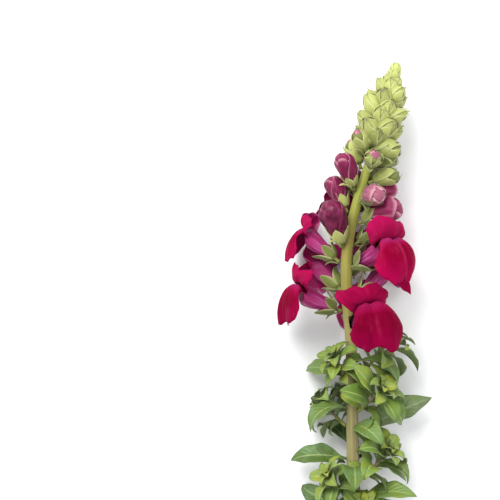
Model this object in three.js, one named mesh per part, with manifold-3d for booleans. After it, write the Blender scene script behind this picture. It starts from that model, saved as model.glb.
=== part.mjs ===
// A cut snapdragon stem (Antirrhinum majus), lying on its side.
//
// Millimetres, +Z up. The stem lies along Y with the spike's tip at +Y and the cut end at -Y. It rests
// on its cut end and on the petals and leaves below it. The origin is the middle of the footprint.
//
// A place on the stem is given by its station, the distance below the tip, and its azimuth, the angle
// round the stem: 0 is straight up, 90 is towards +X and 180 is towards the surface it lies on.
import * as THREE from 'three';
import { LoftGeometry } from 'three/addons/geometries/LoftGeometry.js';
import { mergeVertices } from 'three/addons/utils/BufferGeometryUtils.js';
import Module from 'manifold-3d';

// ---------------------------------------------------------------------------------------------------
// The stem
// ---------------------------------------------------------------------------------------------------

const STEM_LENGTH = 450;
const CUT_SLANT = 3.5; // how far the slanted cut runs each way along the stem
const TIP_LENGTH = 52; // the undeveloped top of the spike, where green buds hide the stem
const GAP = 0.3; // clearance between pieces that touch
const SOFT_HEIGHT = 8; // petals and leaves below this height give way to the surface
const SAG = 3.5; // how near a piece comes to the surface before it sags down to it

// The axis and radius at every STATION_STEP, from the tip to the cut end.
const STATION_STEP = 30;
const STEM_SIDE = [ 29, 21, 12.5, 3.5, - 3, - 3.6, - 1, 0.2, 0.4, 1, 2.6, 4, 5, 5.6, 6, 6.2 ];
const STEM_HEIGHT = [ 31, 30.2, 29.6, 29, 28.2, 26.6, 24.4, 22.2, 20, 17.8, 15.6, 13.4, 11.1, 8.8, 6.5, 4.2 ];
const STEM_RADIUS = [ 0.8, 1.6, 2.6, 3.4, 3.8, 3.8, 3.8, 3.8, 3.85, 3.9, 3.95, 4, 4, 4.1, 4.15, 4.2 ];
const STEM_RIBS = 5;
const RIB_DEPTH = 0.04; // as a part of the radius
const STEM_RINGS_EVERY = 15;

// ---------------------------------------------------------------------------------------------------
// What grows from it
// ---------------------------------------------------------------------------------------------------

// Open florets, from the lowest up: station, azimuth, lean away from the tip, size, and how far the
// upper lip still reaches forward as a hood. It turns back as the floret ages.
const FLORETS = [
	{ station: 178, azimuth: 166, lean: 60, size: 0.93, hood: 30 },
	{ station: 174, azimuth: 23, lean: 72, size: 1.04, hood: 5 },
	{ station: 163, azimuth: - 78, lean: 60, size: 1, hood: 40 },
	{ station: 158, azimuth: 104, lean: 50, size: 0.95, hood: 60 },
	{ station: 151, azimuth: - 146, lean: 58, size: 0.9, hood: 45 },
	{ station: 134, azimuth: 50, lean: 64, size: 1.1, hood: 52 },
	{ station: 142, azimuth: 158, lean: 46, size: 0.82, hood: 62 },
	{ station: 131, azimuth: - 107, lean: 54, size: 0.87, hood: 55 },
	{ station: 119, azimuth: 120, lean: 50, size: 0.76, hood: 60 },
	{ station: 114, azimuth: - 160, lean: 46, size: 0.75, hood: 65 },
];

// Buds with a stalk of their own, from the lowest up: the same, with the bud's length and width.
const BUDS = [
	{ station: 121, azimuth: - 44, lean: 28, length: 31, width: 17.5 },
	{ station: 104, azimuth: 70, lean: 50, length: 28, width: 17 },
	{ station: 97, azimuth: 156, lean: 42, length: 19, width: 12.5 },
	{ station: 90, azimuth: 28, lean: 66, length: 21, width: 13.5 },
	{ station: 99, azimuth: - 106, lean: 38, length: 23, width: 13 },
	{ station: 90, azimuth: 104, lean: 46, length: 21, width: 12 },
	{ station: 88, azimuth: - 152, lean: 42, length: 20, width: 12 },
	{ station: 84, azimuth: - 56, lean: 40, length: 24, width: 12.5 },
	{ station: 78, azimuth: 165, lean: 44, length: 17, width: 12 },
	{ station: 77, azimuth: 72, lean: 52, length: 18, width: 12.5 },
	{ station: 70, azimuth: - 112, lean: 36, length: 17, width: 12 },
	{ station: 67, azimuth: 122, lean: 46, length: 16, width: 11.5 },
	{ station: 68, azimuth: 6, lean: 54, length: 15, width: 12 },
	{ station: 61, azimuth: - 56, lean: 38, length: 15, width: 11.5 },
	{ station: 59, azimuth: 62, lean: 52, length: 14, width: 11.5 },
];

// Leaves on the main stem: lean at the foot, length, width, how far the blade turns back to its tip,
// and how far it is rolled about its own length.
const LEAVES = [
	{ station: 197, azimuth: 58, lean: 78, length: 38, width: 14, curl: 130, roll: 20 },
	{ station: 207, azimuth: - 100, lean: 66, length: 36, width: 13, curl: 90, roll: - 40 },
	{ station: 214, azimuth: 150, lean: 60, length: 36, width: 13, curl: 70, roll: 30 },
	{ station: 244, azimuth: 88, lean: 60, length: 54, width: 19, curl: 20, roll: - 55 },
	{ station: 228, azimuth: - 52, lean: 74, length: 38, width: 15, curl: 120, roll: - 20 },
	{ station: 240, azimuth: 18, lean: 80, length: 34, width: 15, curl: 100, roll: 30 },
	{ station: 252, azimuth: - 145, lean: 56, length: 40, width: 13, curl: 60, roll: - 20 },
	{ station: 262, azimuth: - 80, lean: 74, length: 40, width: 15, curl: 70, roll: - 50 },
	{ station: 262, azimuth: 128, lean: 58, length: 44, width: 15, curl: 60, roll: 40 },
	{ station: 268, azimuth: 2, lean: 76, length: 34, width: 17, curl: 100, roll: 0 },
	{ station: 288, azimuth: 54, lean: 72, length: 42, width: 17, curl: 60, roll: 30 },
	{ station: 298, azimuth: - 105, lean: 62, length: 44, width: 15, curl: 60, roll: - 45 },
	{ station: 312, azimuth: 130, lean: 56, length: 44, width: 13, curl: 50, roll: 40 },
	{ station: 322, azimuth: - 30, lean: 62, length: 40, width: 13, curl: 90, roll: - 20 },
	{ station: 224, azimuth: - 168, lean: 58, length: 34, width: 12, curl: 60, roll: 0 },
	{ station: 283, azimuth: 175, lean: 52, length: 38, width: 12, curl: 40, roll: 0 },
];

// Young side shoots in the leaf axils: lean, stalk length and the size of their leaves.
const SHOOTS = [
	{ station: 206, azimuth: 100, lean: 50, length: 34, leaf: 27 },
	{ station: 207, azimuth: - 52, lean: 38, length: 18, leaf: 18 },
	{ station: 230, azimuth: 48, lean: 56, length: 26, leaf: 27 },
	{ station: 276, azimuth: 68, lean: 52, length: 28, leaf: 26 },
	{ station: 287, azimuth: - 50, lean: 50, length: 24, leaf: 21 },
	{ station: 308, azimuth: 16, lean: 46, length: 24, leaf: 21 },
	{ station: 240, azimuth: - 112, lean: 52, length: 24, leaf: 21 },
];

// Shapes of the pieces. Each grows along its own y axis, and its z axis is on the side of the tip.
const SEPALS = 5;
const PEDICEL = { length: 4, radius: 1.2 };
const PETAL_THICKNESS = 1.6;

// A calyx of full size: heights above the pedicel, and radii.
const CALYX = {
	bowl: [ { y: 0.6, r: 3.2 }, { y: 2.6, r: 5.3 } ],
	valley: { y: 5, r: 5.6 },
	point: { y: 10, r: 6.3 },
	inside: [ { y: 2.9, r: 4.8 }, { y: 1.3, r: 2.8 }, { y: 1.5, r: 0.8 } ], // its floor is slightly domed
};

// A full-size corolla from its foot in the calyx: a tube whose end is closed by the palate, and two lips.
const COROLLA_FOOT = PEDICEL.length + 1.8;
const COROLLA_TUBE = [
	{ y: 0, width: 2, height: 2, lift: 0 },
	{ y: 2, width: 3.8, height: 3.9, lift: - 0.2 },
	{ y: 9, width: 4.4, height: 4.5, lift: - 0.3 },
	{ y: 16.5, width: 5.8, height: 5.3, lift: 0 },
	{ y: 22.5, width: 7, height: 6, lift: 0.2 },
	{ y: 27.5, width: 7.2, height: 5.4, lift: 0.2 },
	{ y: 31.5, width: 5.4, height: 4, lift: - 0.4 },
	{ y: 33.5, width: 2.2, height: 1.6, lift: - 1 },
];

// Rows along a lip's centre line: half width, how far the centre is notched, and how far the edges sweep
// back and up. The upper lip turns about its hinge.
const LIP_COLUMNS = [ - 1, - 0.5, 0, 0.5, 1 ];
const HINGE = { y: 21.5, z: 4 };
const UPPER_LIP = [
	{ y: 20.5, z: 3.8, width: 5, rise: - 1.5 },
	{ y: 25, z: 7.8, width: 9.5, rise: - 1.5 },
	{ y: 26.5, z: 12.5, width: 14, sweep: - 3 },
	{ y: 25.2, z: 18, width: 16.5, notch: - 1.5, sweep: - 5 },
	{ y: 22, z: 22.5, width: 14, notch: - 4, sweep: - 5, rise: - 2 },
];
const LOWER_LIP = [
	{ y: 30.5, z: - 1.5, width: 5 },
	{ y: 33, z: - 4.5, width: 11, sweep: - 3, rise: 1 },
	{ y: 33, z: - 10, width: 16, sweep: - 5, rise: 2 },
	{ y: 31, z: - 16, width: 18, sweep: - 7, rise: 1 },
	{ y: 28, z: - 21.5, width: 15.5, notch: 1.5, sweep: - 6, rise: 1 },
	{ y: 25, z: - 25, width: 9, notch: 2, sweep: - 4, rise: 1 },
];

// A closed bud: its girth at parts of its length, as a part of its half width.
const BUD_GIRTH = [ [ 0, 0.45 ], [ 0.2, 0.8 ], [ 0.5, 0.97 ], [ 0.78, 1 ], [ 1, 0.6 ] ];
const BUD_COVER = { point: 0.45, valley: 0.25, crease: 0.2 }; // how much of it the sepals cover
const SEPAL_STAND_OFF = { foot: 0.3, bowl: 0.6, valley: 0.7, point: 0.9 };

// A leaf's half width at equal steps from foot to tip, as a part of half its full width.
const LEAF_OUTLINE = [ 0.16, 0.34, 0.72, 0.98, 1, 0.86, 0.58, 0.28, 0.05 ];
const LEAF_TROUGH = 0.28; // how far its halves fold up, as a part of the half width
const LEAF_FOOT = 1;
const LARGE = { rows: LEAF_OUTLINE.length - 1, thickness: 1 };

// A side shoot's stalk, and the pair and the three leaves that it carries.
const STALK = { foot: 1.3, tip: 0.8, rise: 0.12, rings: [ 0, 0.35, 0.7, 1 ], sides: 6 };
const WHORLS = [
	{ at: 0.55, count: 2, size: 1, lean: 62, turn: 90 },
	{ at: 0.92, count: 3, size: 0.75, lean: 42, turn: 0 },
];
const SMALL = { slimness: 0.5, curl: 80, rows: 4, thickness: 0.8 };

// The green buds of the tip, from the youngest, at the top, to the oldest.
const GREEN_BUDS = {
	count: 16,
	golden: 137.5,
	azimuth: - 20,
	station: [ 9, TIP_LENGTH - 3 ],
	length: [ 9, 16.5 ],
	half: [ 3.6, 5.8 ],
	lean: [ 22, 60 ],
	sides: 5,
	sink: 1, // how far a bud's foot is sunk in the axis
};
const TIP_CORE = [ [ TIP_LENGTH, 3 ], [ 36, 2.7 ], [ 18, 2.3 ], [ 6, 2 ], [ 0.5, 1 ] ]; // station and radius

// ---------------------------------------------------------------------------------------------------
// Colours
// ---------------------------------------------------------------------------------------------------

const FINISHES = {
	stem: { color: 0x8f8a52, roughness: 0.6 },
	tip: { color: 0xc4d277, roughness: 0.6 },
	sepal: { color: 0x8c9a4c, roughness: 0.6 },
	petal: { color: 0xa0063f, roughness: 0.75 },
	bud: { color: 0xa94a80, roughness: 0.5 },
	leaf: { color: 0x5f7d3a, roughness: 0.55 },
	shoot: { color: 0x7f9a48, roughness: 0.55 },
};

const wasm = await Module();
wasm.setup();

const { lerp, clamp, degToRad } = THREE.MathUtils;
const TURN = 2 * Math.PI;
const UP = new THREE.Vector3( 0, 0, 1 );

// ---------------------------------------------------------------------------------------------------
// The stem's axis, and frames for what grows from it
// ---------------------------------------------------------------------------------------------------

const AXIS = new THREE.CatmullRomCurve3(
	STEM_SIDE.map( ( x, i ) => new THREE.Vector3( x, - i * STATION_STEP, STEM_HEIGHT[ i ] ) ),
	false,
	'catmullrom',
);

// Value of a list at a place between two of its entries.
function between( list, place ) {

	const i = clamp( Math.floor( place ), 0, list.length - 2 );
	return lerp( list[ i ], list[ i + 1 ], clamp( place - i, 0, 1 ) );

}

const radiusAt = ( station ) => between( STEM_RADIUS, station / STATION_STEP );

// The stem's point, direction to the tip, side and top at a station.
function stemFrame( station ) {

	const tip = AXIS.getTangent( station / STEM_LENGTH ).negate();
	const side = new THREE.Vector3().crossVectors( tip, UP ).normalize();
	const top = new THREE.Vector3().crossVectors( side, tip );
	return { point: AXIS.getPoint( station / STEM_LENGTH ), tip, side, top };

}

// A ring of points round the stem's axis. They run clockwise seen from the tip, for a loft away from it.
function stemRing( station, sides, radiusOf, slant = 0 ) {

	const { point, tip, side, top } = stemFrame( station );
	return Array.from( { length: sides }, ( _, i ) => {

		const angle = - i / sides * TURN;
		const radius = radiusOf( i );
		return point.clone()
			.addScaledVector( top, Math.cos( angle ) * radius )
			.addScaledVector( side, Math.sin( angle ) * radius )
			.addScaledVector( tip, - Math.sin( angle ) * slant );

	} );

}

// Frame of a piece that grows from the stem: x across it, y out along it, z on the side of the tip.
// Its foot, a disc of the given radius, stands GAP off the stem.
function seat( { station, azimuth, lean }, footRadius ) {

	const { point, tip, side, top } = stemFrame( station );
	const turn = degToRad( azimuth );
	const tilt = degToRad( lean );
	const out = top.multiplyScalar( Math.cos( turn ) ).addScaledVector( side, Math.sin( turn ) );
	const along = tip.clone().multiplyScalar( Math.cos( tilt ) ).addScaledVector( out, Math.sin( tilt ) );
	const inner = tip.multiplyScalar( Math.sin( tilt ) ).addScaledVector( out, - Math.cos( tilt ) );
	const across = new THREE.Vector3().crossVectors( along, inner );
	const rise = radiusAt( station ) + GAP + footRadius * Math.cos( tilt );
	return new THREE.Matrix4()
		.makeBasis( across, along, inner )
		.setPosition( point.addScaledVector( out, rise ) );

}

// ---------------------------------------------------------------------------------------------------
// Shapes
// ---------------------------------------------------------------------------------------------------

// An upright ring of points round the y axis; width and height are half sizes along x and z.
function ring( { y, width, height = width, lift = 0 }, sides = 2 * SEPALS ) {

	return Array.from( { length: sides }, ( _, i ) => {

		const angle = i / sides * TURN;
		return new THREE.Vector3( Math.sin( angle ) * width, y, lift + Math.cos( angle ) * height );

	} );

}

const loft = ( sections ) => new LoftGeometry( sections, { capStart: true, capEnd: true } );

// A thin blade with sharp side edges from a grid of points: rows run along it, columns across it.
function blade( grid, thickness ) {

	const last = grid.length - 1;
	return loft( grid.map( ( row, i ) => {

		const before = grid[ Math.max( i - 1, 0 ) ][ 0 ];
		const after = grid[ Math.min( i + 1, last ) ][ 0 ];
		const along = new THREE.Vector3().subVectors( after, before );
		const inside = row.slice( 1, - 1 );
		const offsets = inside.map( ( _, j ) => new THREE.Vector3()
			.subVectors( row[ j + 2 ], row[ j ] )
			.cross( along )
			.setLength( thickness / 2 ) );
		const front = inside.map( ( point, j ) => point.clone().add( offsets[ j ] ) );
		const back = inside.map( ( point, j ) => point.clone().sub( offsets[ j ] ) );
		return [ row[ 0 ], ...front, row.at( - 1 ), ...back.reverse() ];

	} ) );

}

// A manifold-3d solid of a closed geometry.
function solid( geometry ) {

	const bare = new THREE.BufferGeometry().setIndex( geometry.index );
	bare.setAttribute( 'position', geometry.getAttribute( 'position' ) );
	const merged = mergeVertices( bare, 1e-3 );
	return new wasm.Manifold( new wasm.Mesh( {
		numProp: 3,
		vertProperties: merged.attributes.position.array,
		triVerts: new Uint32Array( merged.index.array ),
	} ) );

}

// Overlapping closed geometries, joined in one.
function weld( geometries ) {

	const joined = geometries.map( solid ).reduce( ( whole, piece ) => whole.add( piece ) );
	const { vertProperties, triVerts } = joined.getMesh();
	const geometry = new THREE.BufferGeometry();
	geometry.setAttribute( 'position', new THREE.BufferAttribute( vertProperties, 3 ) );
	geometry.setIndex( new THREE.BufferAttribute( triVerts, 1 ) );
	return geometry;

}

// Every second point of a ring, from the first, taken from another ring: five points and five valleys.
const star = ( valleys, points ) => valleys.map( ( valley, i ) => ( i % 2 ? valley : points[ i ] ) );

// A calyx: a pedicel, then a cup whose rim rises into pointed sepals.
function calyxGeometry( size ) {

	const { length, radius } = PEDICEL;
	const cupRing = ( { y, r } ) => ring( { y: length + y * size, width: r * size } );
	return loft( [
		ring( { y: 0, width: radius } ),
		ring( { y: length - 1, width: radius * 1.1 } ),
		...CALYX.bowl.map( cupRing ),
		star( cupRing( CALYX.valley ), cupRing( CALYX.point ) ),
		...CALYX.inside.map( cupRing ),
	] );

}

function lipGeometry( rows ) {

	return blade( rows.map( ( { y, z, width, notch = 0, sweep = 0, rise = 0 } ) => LIP_COLUMNS.map( ( k ) => {

		const edge = k * k;
		return new THREE.Vector3( k * width, y + sweep * edge, z + rise * edge + ( k === 0 ? notch : 0 ) );

	} ) ), PETAL_THICKNESS );

}

// A two-lipped corolla, closed at the mouth.
function corollaGeometry( { size, hood } ) {

	const tube = loft( COROLLA_TUBE.map( ( section ) => ring( section, 8 ) ) );
	const upper = lipGeometry( UPPER_LIP )
		.translate( 0, - HINGE.y, - HINGE.z )
		.rotateX( - degToRad( hood ) )
		.translate( 0, HINGE.y, HINGE.z );
	const lower = lipGeometry( LOWER_LIP );
	return weld( [ tube, upper, lower ] ).scale( size, size, size ).translate( 0, COROLLA_FOOT, 0 );

}

// A closed bud: an egg with a blunt, slightly nodding end, held by its sepals.
function budGeometry( { length, width } ) {

	const half = width / 2;
	const foot = PEDICEL.length;
	const girth = new THREE.SplineCurve( BUD_GIRTH.map( ( [ t, r ] ) => new THREE.Vector2( t, r ) ) );
	const body = ( t, standOff = 0, nod = 0 ) => ring( {
		y: foot + length * t,
		width: half * girth.getPoint( t ).y + standOff,
		lift: - half * nod,
	} );
	return loft( [
		ring( { y: 0, width: PEDICEL.radius } ),
		ring( { y: foot - 1, width: PEDICEL.radius } ),
		body( 0.03, SEPAL_STAND_OFF.foot ),
		body( 0.2, SEPAL_STAND_OFF.bowl ),
		star( body( BUD_COVER.valley, SEPAL_STAND_OFF.valley ), body( BUD_COVER.point, SEPAL_STAND_OFF.point ) ),
		body( BUD_COVER.crease ),
		body( 0.7, 0, 0.05 ),
		body( 0.9, - half * 0.12, 0.15 ),
		ring( { y: foot + length, width: half * 0.3, height: half * 0.25, lift: - half * 0.3 } ),
	] );

}

// A leaf that curls back, away from the tip of what carries it, and is rolled about its foot.
function leafGeometry( { length, width, curl, roll = 0 }, { rows, thickness } = LARGE ) {

	const grid = [];
	const middle = new THREE.Vector3();
	for ( let i = 0; i <= rows; i ++ ) {

		const t = i / rows;
		const bend = degToRad( curl ) * t ** 1.6;
		const half = width / 2 * between( LEAF_OUTLINE, t * ( LEAF_OUTLINE.length - 1 ) );
		const fold = half * LEAF_TROUGH;
		const edge = ( x ) => new THREE.Vector3( x, Math.sin( bend ) * fold, Math.cos( bend ) * fold ).add( middle );
		grid.push( [ edge( - half ), middle.clone(), edge( half ) ] );
		middle.y += Math.cos( bend ) * length / rows;
		middle.z -= Math.sin( bend ) * length / rows;

	}

	return blade( grid, thickness ).rotateY( degToRad( roll ) );

}

// A young shoot: a thin stalk with a pair of small leaves, and three more at its tip.
function shootGeometry( { length, leaf } ) {

	const centre = ( t ) => ( { y: length * t, lift: length * STALK.rise * t * t } );
	const stalkRing = ( t ) => ring( { ...centre( t ), width: lerp( STALK.foot, STALK.tip, t ) }, STALK.sides );
	const whorl = ( { at, count, size, lean, turn } ) => Array.from( { length: count }, ( _, i ) => {

		const small = { length: leaf * size, width: leaf * size * SMALL.slimness, curl: SMALL.curl };
		const { y, lift } = centre( at );
		return leafGeometry( small, SMALL )
			.rotateX( - degToRad( lean ) )
			.rotateY( degToRad( turn ) + i / count * TURN )
			.translate( 0, y, lift );

	} );
	return weld( [ loft( STALK.rings.map( stalkRing ) ), ...WHORLS.flatMap( whorl ) ] );

}

// The main stem: a slightly ribbed rod with a slanted cut.
function stemGeometry() {

	const sides = 2 * STEM_RIBS;
	const radiusOf = ( station ) => ( i ) => radiusAt( station ) * ( i % 2 ? 1 : 1 - RIB_DEPTH );
	const sections = [];
	for ( let station = TIP_LENGTH + GAP; station < STEM_LENGTH - STEM_RINGS_EVERY; station += STEM_RINGS_EVERY ) {

		sections.push( stemRing( station, sides, radiusOf( station ) ) );

	}

	const cut = STEM_LENGTH - CUT_SLANT;
	sections.push( stemRing( cut, sides, radiusOf( cut ), CUT_SLANT ) );
	return loft( sections );

}

// The top of the spike: its axis and the green buds packed round it, all grown together.
function tipGeometry() {

	const core = loft( TIP_CORE.map( ( [ station, radius ] ) => stemRing( station, 8, () => radius ).reverse() ) );
	const { count, golden, azimuth, sides, sink } = GREEN_BUDS;
	const buds = Array.from( { length: count }, ( _, i ) => {

		const t = i / ( count - 1 );
		const station = lerp( ...GREEN_BUDS.station, t );
		const length = lerp( ...GREEN_BUDS.length, t );
		const half = lerp( ...GREEN_BUDS.half, t );
		const lean = lerp( ...GREEN_BUDS.lean, t ** 0.7 );
		return loft( [
			ring( { y: 0, width: half * 0.5 }, sides ),
			ring( { y: length * 0.4, width: half }, sides ),
			ring( { y: length * 0.7, width: half * 0.9, height: half * 0.8, lift: - half * 0.1 }, sides ),
			ring( { y: length, width: half * 0.2, lift: - half * 0.1 }, sides ),
		] ).applyMatrix4( seat( { station, azimuth: azimuth + i * golden, lean }, - sink ) );

	} );
	return weld( [ core, ...buds ] );

}

// ---------------------------------------------------------------------------------------------------
// Assembly
// ---------------------------------------------------------------------------------------------------

// What is soft gives way to the surface that the stem lies on. Heights below SOFT_HEIGHT are pressed
// together, ever closer to zero, and a piece that comes within SAG of the surface sags until it touches.
function settle( geometry ) {

	const position = geometry.getAttribute( 'position' );
	const heights = Array.from( { length: position.count }, ( _, i ) => {

		const z = position.getZ( i );
		return z < SOFT_HEIGHT ? SOFT_HEIGHT * Math.exp( z / SOFT_HEIGHT - 1 ) : z;

	} );
	const lowest = Math.min( ...heights );
	const stretch = lowest < SAG ? SOFT_HEIGHT / ( SOFT_HEIGHT - lowest ) : 1;
	heights.forEach( ( z, i ) => position.setZ( i, z < SOFT_HEIGHT ? SOFT_HEIGHT - ( SOFT_HEIGHT - z ) * stretch : z ) );
	return geometry;

}

const stem = new THREE.Group();

function add( name, geometry, finish ) {

	const material = new THREE.MeshStandardMaterial( { ...FINISHES[ finish ], metalness: 0 } );
	const mesh = new THREE.Mesh( geometry, material );
	mesh.name = name;
	stem.add( mesh );

}

// Adds one numbered piece for each place in a list.
function grow( places, name, shape, footRadius, finish ) {

	places.forEach( ( place, i ) => {

		const number = String( i + 1 ).padStart( 2, '0' );
		const geometry = shape( place ).applyMatrix4( seat( place, footRadius ) );
		add( `${ name }_${ number }`, settle( geometry ), finish );

	} );

}

add( 'main_stem', stemGeometry(), 'stem' );
add( 'spike_tip', tipGeometry(), 'tip' );
grow( FLORETS, 'calyx', ( { size } ) => calyxGeometry( size ), PEDICEL.radius, 'sepal' );
grow( FLORETS, 'corolla', corollaGeometry, PEDICEL.radius, 'petal' );
grow( BUDS, 'bud', budGeometry, PEDICEL.radius, 'bud' );
grow( LEAVES, 'leaf', ( leaf ) => leafGeometry( leaf ), LEAF_FOOT, 'leaf' );
grow( SHOOTS, 'shoot', shootGeometry, STALK.foot, 'shoot' );

// The origin is the middle of the box's underside.
const box = new THREE.Box3().setFromObject( stem );
const middle = box.getCenter( new THREE.Vector3() );
stem.children.forEach( ( mesh ) => mesh.position.set( - middle.x, - middle.y, - box.min.z ) );

export default stem;
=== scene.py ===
"""The looks of a cut snapdragon stem that lies on its side.

Every piece is worked out in millimetres on the stem's own axis, and moved into the frame by the place of
the frame's own stem. A place on the stem is given by its station, the distance below the tip, and its
azimuth round the stem: 0 is up, 90 is towards +X and 180 is towards the surface that the stem lies on.
"""

import logging
import math
from dataclasses import dataclass, replace
from enum import Enum
from typing import ClassVar

import bpy
import numpy as np
from bpy.types import NodeSocket, NodeTree
from numpy import ndarray
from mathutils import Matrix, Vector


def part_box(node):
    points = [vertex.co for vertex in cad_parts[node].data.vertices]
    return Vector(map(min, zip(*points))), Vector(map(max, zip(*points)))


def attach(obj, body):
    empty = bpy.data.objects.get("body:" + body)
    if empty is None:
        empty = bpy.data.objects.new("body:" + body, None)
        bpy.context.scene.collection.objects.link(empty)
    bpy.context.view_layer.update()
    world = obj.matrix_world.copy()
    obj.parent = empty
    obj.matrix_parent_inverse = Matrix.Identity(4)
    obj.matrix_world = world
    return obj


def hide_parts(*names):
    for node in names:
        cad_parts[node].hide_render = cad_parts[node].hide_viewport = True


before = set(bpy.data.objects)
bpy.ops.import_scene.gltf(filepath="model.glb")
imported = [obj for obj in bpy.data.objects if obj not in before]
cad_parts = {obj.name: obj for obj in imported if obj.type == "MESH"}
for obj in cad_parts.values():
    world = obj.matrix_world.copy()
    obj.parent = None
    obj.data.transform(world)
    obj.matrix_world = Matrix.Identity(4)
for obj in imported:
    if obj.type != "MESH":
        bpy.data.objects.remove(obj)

log = logging.getLogger("snapdragon")

MM = 0.001
TURN = 2 * math.pi
UP = np.array([0.0, 0.0, 1.0])
GOLDEN = 137.5  # degrees between one growth and the next up the spike
TINY = 1e-9  # keeps a division from failing

# -------- The plant's driving sizes, in millimetres and degrees, the same as the frame's --------

STEM_LENGTH = 450.0
TIP_LENGTH = 52.0
CUT_SLANT = 3.5
GAP = 0.3
SOFT_HEIGHT = 8.0  # petals and leaves below this height give way to the surface
LOWEST = 0.3  # how near to it the middle of a petal or leaf comes
SAG = 3.5  # how near a piece comes to the surface before it sags down to it
PEDICEL_LENGTH = 4.0
PEDICEL_RADIUS = 1.2
STALK_RADIUS = 1.3
LEAF_FOOT = 1.0
COLOURED_BUDS = 8  # the lowest buds, which show more petal than sepal
STATION_STEP = 30.0  # between the rows of the next three lists, from the tip down
STEM_SIDE = [29, 21, 12.5, 3.5, -3, -3.6, -1, 0.2, 0.4, 1, 2.6, 4, 5, 5.6, 6, 6.2]
STEM_HEIGHT = [31, 30.2, 29.6, 29, 28.2, 26.6, 24.4, 22.2, 20, 17.8, 15.6, 13.4, 11.1, 8.8, 6.5, 4.2]
STEM_RADIUS = [0.8, 1.6, 2.6, 3.4, 3.8, 3.8, 3.8, 3.8, 3.85, 3.9, 3.95, 4, 4, 4.1, 4.15, 4.2]


@dataclass(frozen=True)
class Place:
    """Where a piece grows from the stem, and how far it leans away from the tip."""

    station: float
    azimuth: float
    lean: float


@dataclass(frozen=True)
class FloretPlace(Place):
    """An open floret: its size, and how far its upper lip still reaches forward as a hood."""

    size: float
    hood: float


@dataclass(frozen=True)
class BudPlace(Place):
    """A closed bud's length and width, and its ripeness from 0, green, to 1, about to open."""

    length: float
    width: float
    ripeness: float


@dataclass(frozen=True)
class LeafPlace(Place):
    """A leaf's blade: its length and width, how far it curls back, its roll, and its age from 0 to 1."""

    length: float
    width: float
    curl: float
    roll: float
    age: float


@dataclass(frozen=True)
class ShootPlace(Place):
    """A side shoot's stalk length, and the length of its largest leaves."""

    length: float
    leaf: float


FLORETS = [FloretPlace(*row) for row in (
    (178, 166, 60, 0.93, 30), (174, 23, 72, 1.04, 5), (163, -78, 60, 1, 40), (158, 104, 50, 0.95, 60),
    (151, -146, 58, 0.9, 45), (134, 50, 64, 1.1, 52), (142, 158, 46, 0.82, 62), (131, -107, 54, 0.87, 55),
    (119, 120, 50, 0.76, 60), (114, -160, 46, 0.75, 65),
)]
BUDS = [BudPlace(*row) for row in (
    (121, -44, 28, 31, 17.5, 0.9), (104, 70, 50, 28, 17, 0.6), (97, 156, 42, 19, 12.5, 0.85),
    (90, 28, 66, 21, 13.5, 0.4), (99, -106, 38, 23, 13, 0.75), (90, 104, 46, 21, 12, 0.6),
    (88, -152, 42, 20, 12, 0.6), (84, -56, 40, 24, 12.5, 0.7), (78, 165, 44, 17, 12, 0.12),
    (77, 72, 52, 18, 12.5, 0.16), (70, -112, 36, 17, 12, 0.2), (67, 122, 46, 16, 11.5, 0.1),
    (68, 6, 54, 15, 12, 0.3), (61, -56, 38, 15, 11.5, 0.22), (59, 62, 52, 14, 11.5, 0.05),
)]
LEAVES = [LeafPlace(*row) for row in (
    (197, 58, 78, 38, 14, 130, 20, 0.5), (207, -100, 66, 36, 13, 90, -40, 0.3),
    (214, 150, 60, 36, 13, 70, 30, 0.8), (244, 88, 60, 54, 19, 20, -55, 0.9),
    (228, -52, 74, 38, 15, 120, -20, 0.5), (240, 18, 80, 34, 15, 100, 30, 0.3),
    (252, -145, 56, 40, 13, 60, -20, 0.9), (262, -80, 74, 40, 15, 70, -50, 0.7),
    (262, 128, 58, 44, 15, 60, 40, 0.9), (268, 2, 76, 34, 17, 100, 0, 0.5),
    (288, 54, 72, 42, 17, 60, 30, 0.2), (298, -105, 62, 44, 15, 60, -45, 0.8),
    (312, 130, 56, 44, 13, 50, 40, 0.9), (322, -30, 62, 40, 13, 90, -20, 0.6),
    (224, -168, 58, 34, 12, 60, 0, 0.9), (283, 175, 52, 38, 12, 40, 0, 0.9),
)]
SHOOTS = [ShootPlace(*row) for row in (
    (206, 100, 50, 34, 27), (207, -52, 38, 18, 18), (230, 48, 56, 26, 27), (276, 68, 52, 28, 26),
    (287, -50, 50, 24, 21), (308, 16, 46, 24, 21), (240, -112, 52, 24, 21),
)]


# -------- Curves, patches and meshes --------


def curve(keys: list | tuple, at: ndarray | float) -> ndarray:
    """Follows a smooth curve through keys.

    Args:
        keys: Rows of a place and the values there, in order of place.
        at: Places to give the values for.

    Returns:
        The values, with one more axis than the places.
    """
    table = np.asarray(keys, float)
    x, y = table[:, 0], table[:, 1:]
    slope = np.gradient(y, x, axis=0)
    at = np.clip(np.asarray(at, float), x[0], x[-1])
    i = np.clip(np.searchsorted(x, at, side="right") - 1, 0, len(x) - 2)
    step = (x[i + 1] - x[i])[..., None]
    t = (at - x[i])[..., None] / step
    near = (2 * t**3 - 3 * t**2 + 1) * y[i] + (t**3 - 2 * t**2 + t) * step * slope[i]
    far = (3 * t**2 - 2 * t**3) * y[i + 1] + (t**3 - t**2) * step * slope[i + 1]
    return near + far


def smooth(low: float, high: float, x: ndarray) -> ndarray:
    """Rises smoothly from 0 at low to 1 at high."""
    t = np.clip((x - low) / (high - low), 0, 1)
    return t * t * (3 - 2 * t)


def bump(x: ndarray | float, middle: float, width: float) -> ndarray:
    """A soft bump, 1 at its middle and all but gone two widths away."""
    return np.exp(-(((x - middle) / width) ** 2))


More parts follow.
